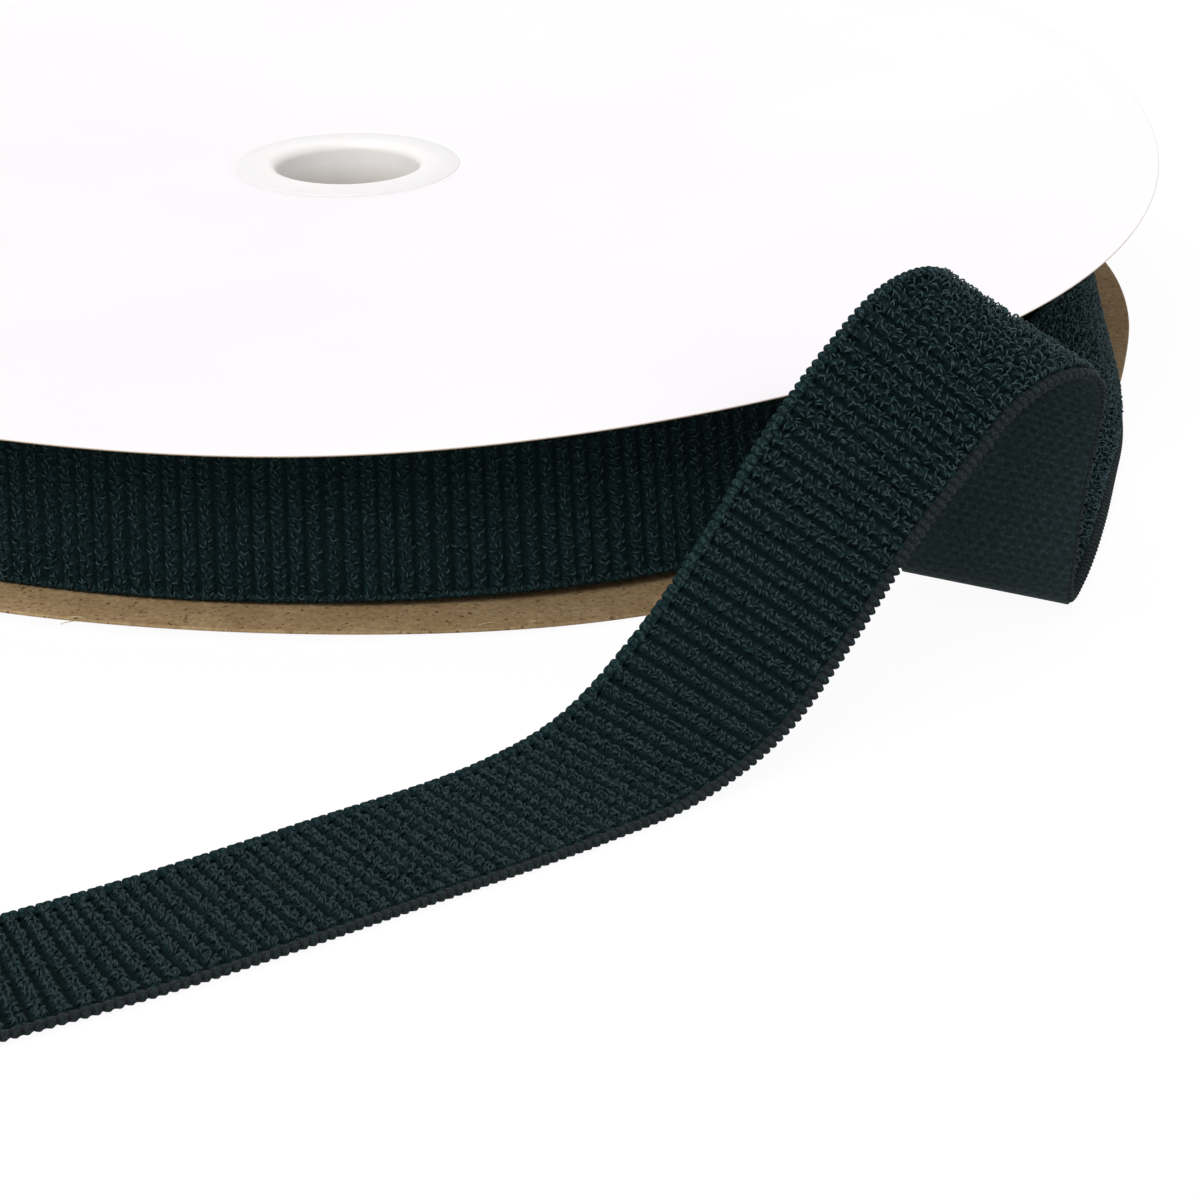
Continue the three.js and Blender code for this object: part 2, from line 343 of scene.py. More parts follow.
def add(tree, kind, links=None, **settings):
    """Adds a node. links gives what feeds each input, settings an input's value or the node's own property."""
    node = tree.nodes.new(kind)
    for name, value in settings.items():
        if hasattr(node, name):
            setattr(node, name, value)
        else:
            node.inputs[name.replace("_", " ")].default_value = value
    for name, source in (links or {}).items():
        tree.links.new(source, node.inputs[name])
    return node


def new_material(name, **shader):
    """A material with its Principled shader. The values are sockets that are the same all over."""
    material = bpy.data.materials.new(name)
    material.use_nodes = True
    tree = material.node_tree
    surface = tree.nodes["Principled BSDF"]
    for socket, value in shader.items():
        surface.inputs[socket.replace("_", " ")].default_value = value
    return material, tree, surface


def object_place(tree):
    return add(tree, "ShaderNodeTexCoord").outputs["Object"]


def ramp(tree, source, stops):
    """The colour at a source's place between stops of (place, hex colour)."""
    node = add(tree, "ShaderNodeValToRGB", {"Fac": source})
    elements = node.color_ramp.elements
    while len(elements) < len(stops):
        elements.new(0.5)
    for element, (place, colour) in zip(elements, stops):
        element.position, element.color = place, linear(colour)
    return node.outputs["Color"]


def grains(tree, place, size_mm, detail=2.0, roughness=0.5):
    """Noise whose grains are size_mm across, on a place in metres."""
    scale = 1 / (size_mm * MM)
    noise = add(tree, "ShaderNodeTexNoise", {"Vector": place}, Scale=scale, Detail=detail, Roughness=roughness)
    return noise.outputs["Fac"]


def share_between(tree, value, low, high):
    """From 0 where a value is low to 1 where it is high."""
    return add(tree, "ShaderNodeMapRange", {"Value": value}, From_Min=low, From_Max=high).outputs["Result"]


def multiplied(tree, first, second):
    """Two colours, multiplied."""
    mixed = add(tree, "ShaderNodeMix", {MIX_A: first, MIX_B: second}, data_type="RGBA", blend_type="MULTIPLY")
    mixed.inputs["Factor"].default_value = 1.0
    return mixed.outputs[MIX_RESULT]


def over_depth(tree, low, high):
    """From a hex colour deep down to another colour on top, by the mesh's own depth: the deep colour is painted shade.
    """
    depth = add(tree, "ShaderNodeAttribute", attribute_name="depth").outputs["Fac"]
    mixed = add(tree, "ShaderNodeMix", {"Factor": depth, MIX_B: high}, data_type="RGBA")
    mixed.inputs[MIX_A].default_value = linear(low)
    return mixed.outputs[MIX_RESULT]


def colour_by(tree, surface, colour):
    tree.links.new(colour, surface.inputs["Base Color"])


def bump_by(tree, surface, height, strength, relief_mm, invert=False):
    bump = add(tree, "ShaderNodeBump", {"Height": height}, Strength=strength, Distance=relief_mm * MM, invert=invert)
    tree.links.new(bump.outputs["Normal"], surface.inputs["Normal"])


def yarn_surface(tree, surface, yarn_mm, gap, dark, light, relief_mm):
    """Yarn colour from dark to light, down to the gap's colour between yarns, which is painted shade, with the fibres
    as bump.
    """
    place, scale = object_place(tree), 1 / (yarn_mm * MM)
    knots = add(tree, "ShaderNodeTexVoronoi", {"Vector": place}, feature="F1", Scale=scale, Randomness=1.0)
    fibre = knots.outputs["Distance"]
    yarn = ramp(tree, fibre, [(0.15, light), (0.6, dark)])
    colour_by(tree, surface, over_depth(tree, gap, yarn))
    bump_by(tree, surface, fibre, strength=0.6, relief_mm=relief_mm, invert=True)


def nylon_monofilament():
    """Black nylon 6.6 monofilament, extruded: round wire with a dull glint, painted light on its crown and painted
    shade at its root.
    """
    material, tree, surface = new_material(
        "nylon_monofilament_extruded", Roughness=0.5, IOR=1.53, Specular_IOR_Level=0.15
    )
    dye = grains(tree, object_place(tree), size_mm=0.9, detail=1.0)
    painted_crown_light = ramp(tree, dye, [(0.35, "#192d2f"), (0.65, "#3d5458")])
    colour_by(tree, surface, over_depth(tree, "#091719", painted_crown_light))
    return material


def woven_ground():
    """Black nylon ground weave under the hooks: matt, and almost lightless between its ridges by painted shade."""
    material, tree, surface = new_material("nylon_ground_woven", Roughness=0.9, IOR=1.5, Specular_IOR_Level=0.08)
    yarn_surface(tree, surface, yarn_mm=0.5, gap="#051416", dark="#112325", light="#2a4143", relief_mm=0.25)
    return material


def woven_backing():
    """Black nylon backing weave: fine flat floats, laid like bricks, with painted shade in the gaps between them."""
    material, tree, surface = new_material("nylon_backing_woven", Roughness=0.75, IOR=1.5, Specular_IOR_Level=0.12)
    yarn_surface(tree, surface, yarn_mm=0.6, gap="#030708", dark="#1c2a2c", light="#2b3c3e", relief_mm=0.14)
    return material


def selvedge_yarn():
    """Black textured nylon yarn, stitched round the edge: soft, a little greyer than the weave."""
    material, tree, surface = new_material(
        "nylon_selvedge_yarn", Roughness=0.8, IOR=1.5, Specular_IOR_Level=0.2, Sheen_Weight=0.04, Sheen_Roughness=0.4
    )
    yarn_surface(tree, surface, yarn_mm=0.35, gap="#04090a", dark="#0f1a1c", light="#243134", relief_mm=0.25)
    return material


def chipboard():
    """Grey-brown chipboard, pressed from waste paper: mottled and specked, and greyer towards the right by painted
    shade.
    """
    material, tree, surface = new_material("chipboard_pressed", Roughness=0.92, IOR=1.45, Specular_IOR_Level=0.25)
    place = object_place(tree)
    felt = grains(tree, place, size_mm=0.9, detail=4.0, roughness=0.7)
    cloud = grains(tree, place, size_mm=9.0, detail=3.0, roughness=0.6)
    speck = grains(tree, place, size_mm=0.7, detail=1.0)
    # Painted shade: the board darkens towards the right, as if less light fell there
    across = add(tree, "ShaderNodeSeparateXYZ", {"Vector": place}).outputs["X"]
    painted_shade_rightward = share_between(tree, across, *PAINTED_SHADE_ACROSS_M)
    colour = ramp(tree, felt, [(0.25, "#927c5b"), (0.5, "#ad9471"), (0.75, "#c6ae8a")])
    for layer in (
        ramp(tree, cloud, [(0.3, "#e6e0d6"), (0.7, "#ffffff")]),
        ramp(tree, speck, [(0.26, "#9a8769"), (0.38, "#ffffff")]),
        ramp(tree, painted_shade_rightward, [(0.0, "#fffdf8"), (1.0, "#e2e0dc")]),
    ):
        colour = multiplied(tree, colour, layer)
    colour_by(tree, surface, colour)
    bump_by(tree, surface, felt, strength=0.5, relief_mm=0.2)
    return material


def paper_fibre():
    """Bare paper fibre, torn: pale straw, matt."""
    material, tree, surface = new_material("paper_fibre_torn", Roughness=0.95, IOR=1.45)
    tone = grains(tree, object_place(tree), size_mm=1.5)
    colour_by(tree, surface, ramp(tree, tone, [(0.3, "#b7a27c"), (0.7, "#d6c6a4")]))
    return material


def coated_paper():
    """White clay-coated paper, calendered: almost even, with a faint waviness and a creamy cut edge."""
    material, tree, surface = new_material("coated_paper_calendered", Roughness=0.6, IOR=1.5, Specular_IOR_Level=0.12)
    place = object_place(tree)
    wave = grains(tree, place, size_mm=45.0)
    coat = ramp(tree, wave, [(0.3, "#fbf8fb"), (0.7, "#fefbfe")])
    level = add(tree, "ShaderNodeVectorMath", {0: place}, operation="MULTIPLY")
    level.inputs[1].default_value = (1.0, 1.0, 0.0)
    radius = add(tree, "ShaderNodeVectorMath", {0: level.outputs[0]}, operation="LENGTH").outputs["Value"]
    rim = share_between(tree, radius, *((TOP_FLANGE_RADIUS - inset) * MM for inset in CUT_EDGE_INSETS))
    cut = ramp(tree, rim, [(0.0, "#ffffff"), (1.0, "#dcd2c4")])
    colour_by(tree, surface, multiplied(tree, coat, cut))
    bump_by(tree, surface, wave, strength=0.2, relief_mm=0.3)
    return material


def moulded_hub_plastic():
    """White polyethylene, injection moulded: slightly see-through, and greyed further down its bore by painted shade.
    """
    material, tree, surface = new_material(
        "polyethylene_moulded", Roughness=0.38, IOR=1.5,
        Subsurface_Weight=0.15, Subsurface_Radius=(1.0, 0.9, 0.75), Subsurface_Scale=2.0 * MM,
    )
    place = object_place(tree)
    flow = grains(tree, place, size_mm=6.0)
    plastic_tone = ramp(tree, flow, [(0.3, "#f9f7f7"), (0.7, "#fdfbfb")])
    height = add(tree, "ShaderNodeSeparateXYZ", {"Vector": place}).outputs["Z"]
    # Painted shade: the plastic darkens further down the bore, where less light reaches
    up_the_bore = share_between(tree, height, *BORE_SHADE_HEIGHTS_M)
    painted_bore_shade = ramp(tree, up_the_bore, [(0.0, "#bdb9ae"), (0.4, "#d8d5cc"), (0.85, "#fdfcfb")])
    colour_by(tree, surface, multiplied(tree, plastic_tone, painted_bore_shade))
    bump_by(tree, surface, flow, strength=0.15, relief_mm=0.1)
    return material


MONOFILAMENT = nylon_monofilament()
GROUND = woven_ground()
BACKING = woven_backing()
SELVEDGE = selvedge_yarn()
BOARD = chipboard()
BOARD_FIBRE = paper_fibre()
PAPER = coated_paper()
HUB = moulded_hub_plastic()


# ---- Making a piece from its points ----


def volume(points, quads):
    """Signed volume inside closed quads, positive where they face outward."""
    a, b, c, d = (points[quads[:, i]] for i in range(4))
    return (np.cross(b, c) * a).sum() + (np.cross(c, d) * a).sum()


def make_piece(name, points, quads, ends, material, body, slot, depth=None):
    """A closed smooth mesh piece from millimetre points, quads and the faces at its ends, which rides on a body.
    depth is from 0 in a weave's gaps to 1 on top of its yarns, and along a hook from root to crown; low depth is
    painted shade."""
    points = points.reshape(-1, 3)
    if volume(points, quads) < 0:
        quads, ends = quads[:, ::-1], ends[:, ::-1]
    mesh = bpy.data.meshes.new(name)
    mesh.from_pydata((points * MM).tolist(), [], quads.tolist() + ends.tolist())
    mesh.shade_smooth()
    mesh.materials.append(material)
    if depth is not None:
        mesh.attributes.new("depth", "FLOAT", "POINT").data.foreach_set("value", depth.ravel())
    piece = bpy.data.objects.new(name, mesh)
    put_in_scene(piece)
    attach(piece, body)
    return piece


def make_tape_piece(name, loops, material, depth):
    return make_piece(name, *skin(loops), material, "tape", "hook_tape", depth)


def skin(loops, ring=False):
    """Quads over rows of loops, and the faces at their ends. The last two axes are points and xyz.
    A ring's last loop joins its first. Axes before the last three are separate bodies."""
    sections, count = loops.shape[-3:-1]
    index = np.arange(loops.size // 3).reshape(-1, sections, count)
    here, following = (index, np.roll(index, -1, 1)) if ring else (index[:, :-1], index[:, 1:])
    quads = np.stack([here, np.roll(here, -1, 2), np.roll(following, -1, 2), following], -1).reshape(-1, 4)
    ends = index[:0, 0] if ring else np.concatenate([index[:, 0, ::-1], index[:, -1]])
    return loops, quads, ends


def round_angles(count):
    """So many angles round a full turn, in radians."""
    return np.linspace(0, 2 * math.pi, count, endpoint=False)


def turned(outline, segments, warp=None):
    """Loops of an outline of [radius, height] points about the reel's axis."""
    angle = round_angles(segments)[:, None]
    radius, height = np.asarray(outline, float).T[:, None, :]
    if warp is not None:
        radius, height = warp(radius + 0 * angle, height + 0 * angle, angle)
    return np.stack([radius * np.cos(angle), radius * np.sin(angle), height + 0 * angle], -1)


def hump(place, centre, width):
    """A bell curve of height 1 about a centre."""
    return np.exp(-(((place - centre) / width) ** 2))


# ---- The tape's line ----


def edge_curve(points, count):
    """A smooth curve through points, as the part's source draws it: centripetal Catmull-Rom, by index."""
    points = np.asarray(points, float)
    padded = np.concatenate([[2 * points[0] - points[1]], points, [2 * points[-1] - points[-2]]])
    place = np.linspace(0, len(points) - 1, count)
    at = np.minimum(place.astype(int), len(points) - 2)
    w = (place - at)[:, None]
    p0, p1, p2, p3 = (padded[at + i] for i in range(4))
    d0, d1, d2 = (np.sqrt(np.linalg.norm(b - a, axis=1))[:, None] for a, b in ((p0, p1), (p1, p2), (p2, p3)))
    t1 = ((p1 - p0) / d0 - (p2 - p0) / (d0 + d1) + (p2 - p1) / d1) * d1
    t2 = ((p2 - p1) / d1 - (p3 - p1) / (d1 + d2) + (p3 - p2) / d2) * d1
    return p1 + t1 * w + (-3 * p1 + 3 * p2 - 2 * t1 - t2) * w**2 + (2 * p1 - 2 * p2 + t1 + t2) * w**3


def line_between(low, high):
    """The tape's line between its two edges: how far each station is along it, and its middle, its way across and
    its hook-side face, as nine columns."""
    middle, across = (low + high) / 2, high - low
    across = across / np.linalg.norm(across, axis=1)[:, None]
    along = np.gradient(middle, axis=0)
    along /= np.linalg.norm(along, axis=1)[:, None]
    face = np.cross(across, along)
    face /= np.linalg.norm(face, axis=1)[:, None]
    steps = np.linalg.norm(np.diff(middle, axis=0), axis=1)
    return np.concatenate([[0], np.cumsum(steps)]), np.concatenate([middle, across, face], 1)


def wrap_middle(share):
    """The middle of the outer turn, at shares of it from its start to where the paid-out tape leaves."""
    angle = math.radians(LEAVING_ANGLE) - 2 * math.pi * share
    radius = WRAP_START_RADIUS + WRAP_RISE * share
    height = np.full_like(share, TAPE_LOW_Z + TAPE_WIDTH / 2)
    return np.stack([radius * np.cos(angle), radius * np.sin(angle), height], -1)


def moved_out(edge, distance):
    """An edge of the tape, moved so far away from the reel's axis."""
    moved = edge.copy()
    moved[:, :2] *= 1 + (distance / np.linalg.norm(edge[:, :2], axis=1))[:, None]
    return moved


def leaned(edge, level, humps, weight=1.0):
    """One edge of the tape on the roll, as it lies. The outer turn leans in at the top, most at the right, and its
    lower edge flares out at the front."""
    angle = np.degrees(np.arctan2(edge[:, 1], edge[:, 0]))
    return moved_out(edge, weight * (level + sum(far * hump(angle, *where) for far, *where in humps)))


def wrap_line():
    share = np.linspace(0, 1 + LEAVING_GAP / (2 * math.pi * (WRAP_START_RADIUS + WRAP_RISE)), WRAP_STATIONS)
    middle, half = wrap_middle(share), np.array([0.0, 0.0, TAPE_WIDTH / 2])
    low = leaned(middle - half, LOW_EDGE_OUT, LOW_EDGE_HUMPS)
    high = leaned(middle + half, HIGH_EDGE_OUT, HIGH_EDGE_HUMPS)
    return line_between(low, high)


def paid_out_line():
    """The paid-out tape's line. Places along it count evenly from one pair of the route's points to the next."""
    just_short = 1e-4
    last, before = wrap_middle(np.array([1.0, 1.0 - just_short]))
    start = last + (last - before) / np.linalg.norm(last - before) * LEAVING_GAP
    lower = [[start[0], start[1], TAPE_LOW_Z]] + [np.divide(low, MM) for low, high in ROUTE]
    upper = [[start[0], start[1], TAPE_LOW_Z + TAPE_WIDTH]] + [np.divide(high, MM) for low, high in ROUTE]
    low, high = edge_curve(lower, PAID_OUT_STATIONS), edge_curve(upper, PAID_OUT_STATIONS)
    along = np.linspace(0, PAID_OUT_LENGTH, PAID_OUT_STATIONS)
    weight = np.clip(1 - along / LEAN_FADES_OVER, 0, 1) ** LEAN_FADE_POWER
    near = np.sin(math.pi / 2 * np.clip(along / START_IN_RISE, 0, 1)) ** 2
    near *= hump(np.clip(along - START_IN_END, 0, None), 0, START_IN_FADE)
    inward = START_IN * near + sum(far * hump(along, *where) for far, *where in LATER_IN_HUMPS)
    low = moved_out(leaned(low, LOW_EDGE_OUT, LOW_EDGE_HUMPS, weight), -inward)
    high = moved_out(leaned(high, HIGH_EDGE_OUT, HIGH_EDGE_HUMPS, weight), -inward)
    return line_between(low, high)


def lay_on(line, along, aside, above):
    """Points so far along the tape, aside of its middle and above it on the hook side."""
    run, rows = line
    along, aside, above = np.broadcast_arrays(along, aside, above)
    at = np.stack([np.interp(along, run, rows[:, i]) for i in range(rows.shape[1])], -1)
    return at[..., 0:3] + at[..., 3:6] * aside[..., None] + at[..., 6:9] * above[..., None]


# ---- The tape's own pieces ----


def tape_grid(line, step, columns):
    """Places all over a weave: along the tape in steps of about so much, and aside of its middle."""
    along = np.linspace(0, line[0][-1], int(line[0][-1] / step) + 1)[:, None]
    return along, np.linspace(-GROUND_HALF_WIDTH, GROUND_HALF_WIDTH, columns)[None, :]


def make_weave(name, seen, hidden, material, depth):
    """A closed strip of weave from its seen side, with its depth, and its plain hidden side."""
    depth = np.concatenate([depth, np.zeros(hidden.shape[:2])], axis=1)
    return make_tape_piece(name, np.concatenate([seen, hidden], axis=1), material, depth)


def ground_depth(along, aside, pitch):
    """How near a place on the ground weave is to the top of its yarns: two knotted picks under each row of hooks."""
    turn = 2 * math.pi * along / pitch
    picks = np.clip(PICK_LEVEL - ROW_SWING * np.cos(turn) - PICK_SWING * np.cos(2 * turn), 0, 1)
    stagger = math.pi * (np.sin(turn) > 0)
    knot = 0.5 + 0.5 * np.cos(2 * math.pi * aside / HOOK_SPACING + stagger + np.sin(along / KNOT_DRIFT))
    return picks * (1 - KNOT_SHARE + KNOT_SHARE * knot)


def make_ground(name, line, pitch, step, ridge, taper):
    """The woven ground as one closed strip, with ridges so high on the hook side, tapered at its low and high edge."""
    along, aside = tape_grid(line, step, GROUND_COLUMNS)
    depth = ground_depth(along, aside, pitch)
    edge = np.clip((GROUND_HALF_WIDTH - np.abs(aside)) / np.where(aside < 0, *taper), 0, 1) ** 0.5
    top = lay_on(line, along, aside, GROUND_TOP + ridge * depth * edge)
    low = lay_on(line, along, aside[:, ::-GROUND_COLUMNS_BELOW], GROUND_LOW)
    return make_weave(name, top, low, GROUND, depth)


def backing_depth(along, aside):
    """The same for the backing weave: rows of short floats across the tape, laid like bricks, with narrow gaps."""
    border = np.round(along / BACKING_RIB)
    gap = 1 - np.abs(np.sin(math.pi * along / BACKING_RIB))
    dash = 0.5 + 0.5 * np.cos(math.pi * (2 * aside / BACKING_DASH + border))
    return 1 - gap * (BACKING_GAP_SHARE + (1 - BACKING_GAP_SHARE) * dash)


def make_backing(name, line):
    along, aside = tape_grid(line, BACKING_RIB / BACKING_ROWS_PER_RIB, BACKING_COLUMNS)
    depth = backing_depth(along, aside)
    face = lay_on(line, along, aside, BACKING_FACE - BACKING_DEPTH * depth)
    inner = lay_on(line, along, aside[:, :: 1 - BACKING_COLUMNS], BACKING_INNER)
    return make_weave(name, face, inner, BACKING, depth)


def hook_paths(line, pitch, outline, stands, growth, field):
    """The line of each hook: up from the ground, over in an arc, and down to its cut tip. field is how far aside they
    may be, low and high. Also gives the hooks' radius, and the painted light along each."""
    length = line[0][-1]
    rows = np.arange(pitch / 2, length - pitch / 4, pitch)
    places = (np.arange(HOOKS_PER_ROW) - (HOOKS_PER_ROW - 1) / 2) * HOOK_SPACING + sum(field) / 2
    along, aside, stand = (grid.ravel() for grid in np.meshgrid(rows, places, np.arange(len(stands)), indexing="ij"))
    count = len(along)
    ahead, beside, heading = np.asarray(stands, float)[stand].T
    shares = ("tall", "reach", "radius", "spread", "light")
    tall, far, radius, spread, light = (np.interp(along, growth["places"], growth[share]) for share in shares)
    along = along + ahead * spread + chance.normal(0, ALONG_JITTER, count) * spread**2
    aside = aside + beside + chance.normal(0, ASIDE_JITTER, count)
    heading = np.radians(heading) + chance.normal(0, HEADING_JITTER_RAD, count)
    reach = chance.uniform(*REACH_RANGE, count) * far
    height = chance.uniform(*HEIGHT_RANGE, count) * tall
    lean = chance.normal(0, LEAN_JITTER, count)
    reach_share, level = np.asarray(outline, float).T
    out = (reach_share[None, :] - 0.5) * reach[:, None]
    above = GROUND_TOP + (level[None, :] * (HOOK_TOP - GROUND_TOP)) * height[:, None]
    s = along[:, None] + out * np.cos(heading)[:, None]
    w = aside[:, None] + out * np.sin(heading)[:, None] + lean[:, None] * level[None, :]
    w += np.clip(field[0] - w.min(1), 0, None)[:, None] - np.clip(w.max(1) - field[1], 0, None)[:, None]
    # Painted light: none at the root, which is painted as shade, rising to the crown
    painted_crown_light = light[:, None, None] * np.clip(level, 0, 1)[None, :, None]
    return lay_on(line, np.clip(s, 0, length), w, above), radius[:, None, None, None], painted_crown_light


def make_hooks(name, line, pitch, outline, stands, growth, field):
    """A share of the hooks of a stretch of tape, each a thin round wire with flat ends."""
    paths, radius, painted_crown_light = hook_paths(line, pitch, outline, stands, growth, field)
    along = np.gradient(paths, axis=1)
    along /= np.linalg.norm(along, axis=2)[..., None]
    flat = np.cross(paths[:, 2] - paths[:, 0], paths[:, -2] - paths[:, 0])
    flat /= np.linalg.norm(flat, axis=1)[:, None]
    flat = np.broadcast_to(flat[:, None, :], paths.shape)
    out = np.cross(along, flat)
    out /= np.linalg.norm(out, axis=2)[..., None]
    angle = round_angles(HOOK_SIDES)[None, None, :, None]
    rings = paths[:, :, None] + radius * (out[:, :, None] * np.cos(angle) + flat[:, :, None] * np.sin(angle))
    return make_tape_piece(name, rings, MONOFILAMENT, np.repeat(painted_crown_light, HOOK_SIDES, axis=2))


def make_selvedge(name, line, edge, material):
    """A stitched edge: one stitch after another, which stand out as beads. Where the tape lies flat, every other
    notch between them is filled by so much."""
    length, bead_length = line[0][-1], edge["bead"]
    along = np.linspace(0, length, int(length / (bead_length / SECTIONS_PER_BEAD)) + 1)[:, None]
    angle = round_angles(SELVEDGE_SIDES)[None, :]
    stitch = (along / bead_length + STITCH_SKEW * np.sin(angle)) % 1
    bead = np.clip(np.sin(math.pi * stitch), 0, 1) ** edge["roundness"]
    flat = np.clip((along - FLAT_FROM) / FLAT_BLEND, 0, 1)
    paired = edge["paired"] * flat * (0.5 - 0.5 * np.cos(math.pi * along / bead_length))
    notch = edge["notch"] * (1 - paired) * (1 - bead)
    wide = edge["half_width"] * (1 - notch * (0.5 + 0.5 * np.cos(angle)))
    high = edge["half_height"] * (1 - NOTCH_HEIGHT_SHARE * notch)
    aside = edge["side"] * (edge["place"] + edge["spread"] * flat + wide * np.cos(angle))
    sections = lay_on(line, along, aside, edge["height"] + high * np.sin(angle))
    # Painted shade: the notches between beads take the material's gap colour
    depth = np.clip((bead - BEAD_DARK) / (BEAD_LIT - BEAD_DARK), 0, 1) + 0 * wide
    return make_tape_piece(name, sections, material, depth)


def make_paid_out_tape():
    line = paid_out_line()
    ground = make_ground("free_tape_ground", line, HOOK_ROW_PITCH, **PAID_OUT_GROUND)
    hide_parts("free_tape")
    rest = [
        make_hooks(
            "free_tape_hooks_" + name, line, HOOK_ROW_PITCH, HOOK_OUTLINE, stands, PAID_OUT_GROWTH, PAID_OUT_FIELD
        )
        for name, stands in PAID_OUT_STANDS.items()
    ]
    rest.append(make_backing("free_tape_backing", line))
    rest.append(make_selvedge("free_tape_selvedge_low", line, OVERSEWN, SELVEDGE))
    rest.append(make_selvedge("free_tape_selvedge_high", line, ROW_ENDS, GROUND))


def make_outer_turn():
    line = wrap_line()
    ground = make_ground("outer_turn_ground", line, WRAP_ROW_PITCH, **WRAP_GROUND)
    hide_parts("outer_wrap")
    for name, stands in WRAP_STANDS.items():
        make_hooks(
            "outer_turn_hooks_" + name, line, WRAP_ROW_PITCH, WRAP_HOOK_OUTLINE, stands, WRAP_GROWTH, WRAP_FIELD
        )
    # Painted shade: the roll's stitched edges take the ground weave's darker colours, not the selvedge yarn's
    make_selvedge("outer_turn_selvedge_low", line, ROLLED_LOW, GROUND)
    make_selvedge("outer_turn_selvedge_high", line, ROLLED_HIGH, GROUND)


# ---- The reel's pieces ----


def make_reel_piece(name, node, loops, material, slot, depth=None):
    """A ring of loops about the reel's axis, in place of a CAD node."""
    piece = make_piece(name, *skin(loops, ring=True), material, "reel", slot, depth)
    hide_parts(node)
    return piece


def make_pack():
    """The inner turns: on top and below, the edge of each turn stands up from the hooks beside it."""
    angle = round_angles(PACK_SEGMENTS)[:, None]
    across = PACK_RADIUS - PACK_INNER_RADIUS
    radius = np.linspace(PACK_INNER_RADIUS, PACK_RADIUS, int(across / TURN_PITCH * RINGS_PER_TURN))[None, :]
    share = ((radius - PACK_INNER_RADIUS) / TURN_PITCH + angle / (2 * math.pi)) % 1
    between = np.clip((share - TURN_EDGE_SHARE) / (1 - TURN_EDGE_SHARE), 0, 1)
    groove = TURN_GROOVE * np.clip(np.sin(math.pi * between), 0, 1) ** 0.5
    cone = 1 - PACK_CONE * (radius - PACK_INNER_RADIUS) / across / PACK_RADIUS
    high, low = TAPE_LOW_Z + TAPE_WIDTH - groove, TAPE_LOW_Z + groove
    top = np.stack([cone * radius * np.cos(angle), cone * radius * np.sin(angle), high], -1)
    bottom = np.stack([radius * np.cos(angle), radius * np.sin(angle), low], -1)
    # Painted shade: the grooves between turns take the ground's gap colour
    depth = 1 - groove / TURN_GROOVE
    depth = np.concatenate([depth, depth[:, ::-1]], axis=1)
    loops = np.concatenate([top, bottom[:, ::-1]], axis=1)
    make_reel_piece("inner_turns", "tape_pack", loops, GROUND, "pack", depth)


def reach_share(radius, flange_radius):
    """How far out a place on a flange is, from 0 at the hub's lip to 1 at the rim."""
    return np.clip((radius - HUB_LIP_RADIUS) / (flange_radius - HUB_LIP_RADIUS), 0, None)


def away_from(angle, direction):
    """How far round angles in radians are from a direction in degrees, from -180 to 180 degrees."""
    return (np.degrees(angle) - direction + 180) % 360 - 180


def sprung(radius, height, angle):
    """The top flange, flat under the hub's lip and sprung up outside it."""
    reach = reach_share(radius, TOP_FLANGE_RADIUS)
    facing = (1 + np.cos(angle - math.radians(SPRING_ANGLE))) / 2
    beside = away_from(angle, BOW_MIDDLE)
    bow = BOW_LIFT * (1 - hump(beside, 0, BOW_GAP)) * np.exp(-((beside / BOW_WIDTH) ** 4))
    return radius, height + SPRING_LIFT * reach**2 * facing**SPRING_FALL + bow * reach**2


def sagged(radius, height, angle):
    """The lower flange, whose rim has lost its shape a little."""
    reach = reach_share(radius, BOTTOM_FLANGE_RADIUS)
    sag, curl = (far * hump(np.degrees(angle), *where) for far, *where in (RIM_SAG, RIM_CURL))
    swell, dent = (hump(away_from(angle, at), 0, width) for _, at, width in (RIM_SWELL, RIM_DENT))
    wide = SPREAD_PER_SAG * sag + RIM_SWELL[0] * swell - RIM_DENT[0] * dent
    return radius + wide * reach**3, height + curl * reach**9 + SWELL_LIFT * swell * reach**12 - sag * reach**3


def disc_outline(outer, low, high, rim_low, rim_high):
    """A thin disc with a hole, pressed to other heights towards its rim, whose edge is rounded."""
    radii = np.linspace(FLANGE_HOLE_RADIUS, outer - RIM_EDGE, DISC_RINGS)
    press = np.clip((radii - (outer - PRESSED_BAND)) / PRESSED_BAND, 0, 1) ** 2
    low_side = np.stack([radii, low + (rim_low - low) * press], -1)
    high_side = np.stack([radii, high + (rim_high - high) * press], -1)
    rounding = RIM_ROUNDING_SHARE * (rim_high - rim_low)
    rim = [
        [outer - RIM_ROUNDING, rim_low + rounding],
        [outer, (rim_low + rim_high) / 2],
        [outer - RIM_ROUNDING, rim_high - rounding],
    ]
    return np.concatenate([low_side, rim, high_side[::-1]])


